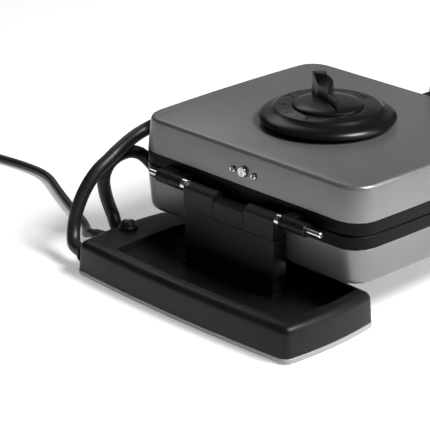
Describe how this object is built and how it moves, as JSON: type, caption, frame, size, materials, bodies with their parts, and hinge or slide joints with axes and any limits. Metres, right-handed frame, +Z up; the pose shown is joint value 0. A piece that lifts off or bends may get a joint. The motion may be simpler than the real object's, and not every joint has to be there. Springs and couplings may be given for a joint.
{
  "type": "waffle maker",
  "caption": "Turn-over double waffle maker: a weighted base with a hinge post carries two hinged cooking halves, a thermostat dial on top and looped cables to the base.",
  "frame": {"origin": "on the table, in the middle of the appliance without its mains lead", "axes": "+Z up, -Y towards the handles (the user's side), +Y towards the base, +X towards the side the cables are on"},
  "size_m": [0.5973, 0.4098, 0.165],
  "materials": {
    "shell_steel": "satin dark grey, fine grain",
    "black_plastic": "semi-matte black moulding",
    "handle_plastic": "heat-resistant black moulding",
    "dial_plastic": "satin black moulding",
    "base_metal": "grey coated steel",
    "pin_steel": "bright",
    "screw_steel": "plain steel",
    "cast_plate": "cast, dark non-stick coating",
    "heater_steel": "tubular element sheath",
    "reflector_steel": "plain sheet",
    "rubber": "matte black",
    "cord_rubber": "black rubber sheath",
    "lens_red": "tinted, glossy",
    "lamp_glass": "clear neon tube",
    "terminal_plastic": "white insulator"
  },
  "bodies": {
    "base": {"base_housing": "black_plastic", "base_plate": "base_metal", "base_foot_right": "rubber", "base_foot_left": "rubber", "base_screw_left": "screw_steel", "base_screw_right": "screw_steel", "post_column": "black_plastic", "post_bracket": "base_metal", "hinge_block_right": "black_plastic", "hinge_block_left": "black_plastic", "hinge_block_middle": "black_plastic", "hinge_pin_right": "pin_steel", "hinge_pin_left": "pin_steel", "hinge_washer_right": "pin_steel", "hinge_washer_left": "pin_steel", "lamp_bezel": "black_plastic", "lamp_lens": "lens_red", "neon_lamp": "lamp_glass", "terminal_block": "terminal_plastic", "upper_jumper_gland": "rubber", "mains_gland": "rubber", "lower_jumper_gland": "rubber", "upper_jumper_base_run": "cord_rubber", "lower_jumper": "cord_rubber", "mains_cord": "cord_rubber", "mains_coil": "cord_rubber", "mains_plug": "black_plastic"},
    "lower_half": {"lower_shell": "shell_steel", "lower_frame": "black_plastic", "lower_plate": "cast_plate", "lower_heater": "heater_steel", "lower_reflector": "reflector_steel", "lower_hinge_arm_right": "black_plastic", "lower_hinge_arm_left": "black_plastic", "lower_handle": "handle_plastic", "lower_leg": "handle_plastic", "lower_leg_pad": "rubber", "lower_handle_bracket": "screw_steel", "lower_shell_gland": "rubber", "upper_jumper_lid_run": "cord_rubber"},
    "upper_half": {"upper_shell": "shell_steel", "upper_frame": "black_plastic", "upper_plate": "cast_plate", "upper_heater": "heater_steel", "upper_reflector": "reflector_steel", "upper_hinge_arm_right": "black_plastic", "upper_hinge_arm_left": "black_plastic", "upper_handle": "handle_plastic", "upper_leg": "handle_plastic", "upper_leg_pad": "rubber", "upper_handle_bracket": "screw_steel", "upper_shell_gland": "rubber", "rear_rivet_right": "screw_steel", "rear_rivet_left": "screw_steel", "rear_screw": "screw_steel", "thermostat": "reflector_steel", "dial_skirt": "dial_plastic"},
    "thermostat_knob": {"knob": "dial_plastic", "knob_spindle": "screw_steel"}
  },
  "joints": [
    {"name": "flip", "type": "hinge", "parent": "base", "child": "lower_half", "pos_m": [0, 0.1202, 0.0829], "axis": [-1, 0, 0], "range_deg": [0, 180], "deforming": ["upper_jumper_base_run", "lower_jumper"]},
    {"name": "lid_hinge", "type": "hinge", "parent": "lower_half", "child": "upper_half", "pos_m": [0, 0.1202, 0.0829], "axis": [-1, 0, 0], "range_deg": [0, 180], "deforming": ["upper_jumper_lid_run"]},
    {"name": "thermostat_turn", "type": "hinge", "parent": "upper_half", "child": "thermostat_knob", "pos_m": [0, 0.0071, 0.124], "axis": [0, 0, 1], "range_deg": [-60, 210]}
  ]
}
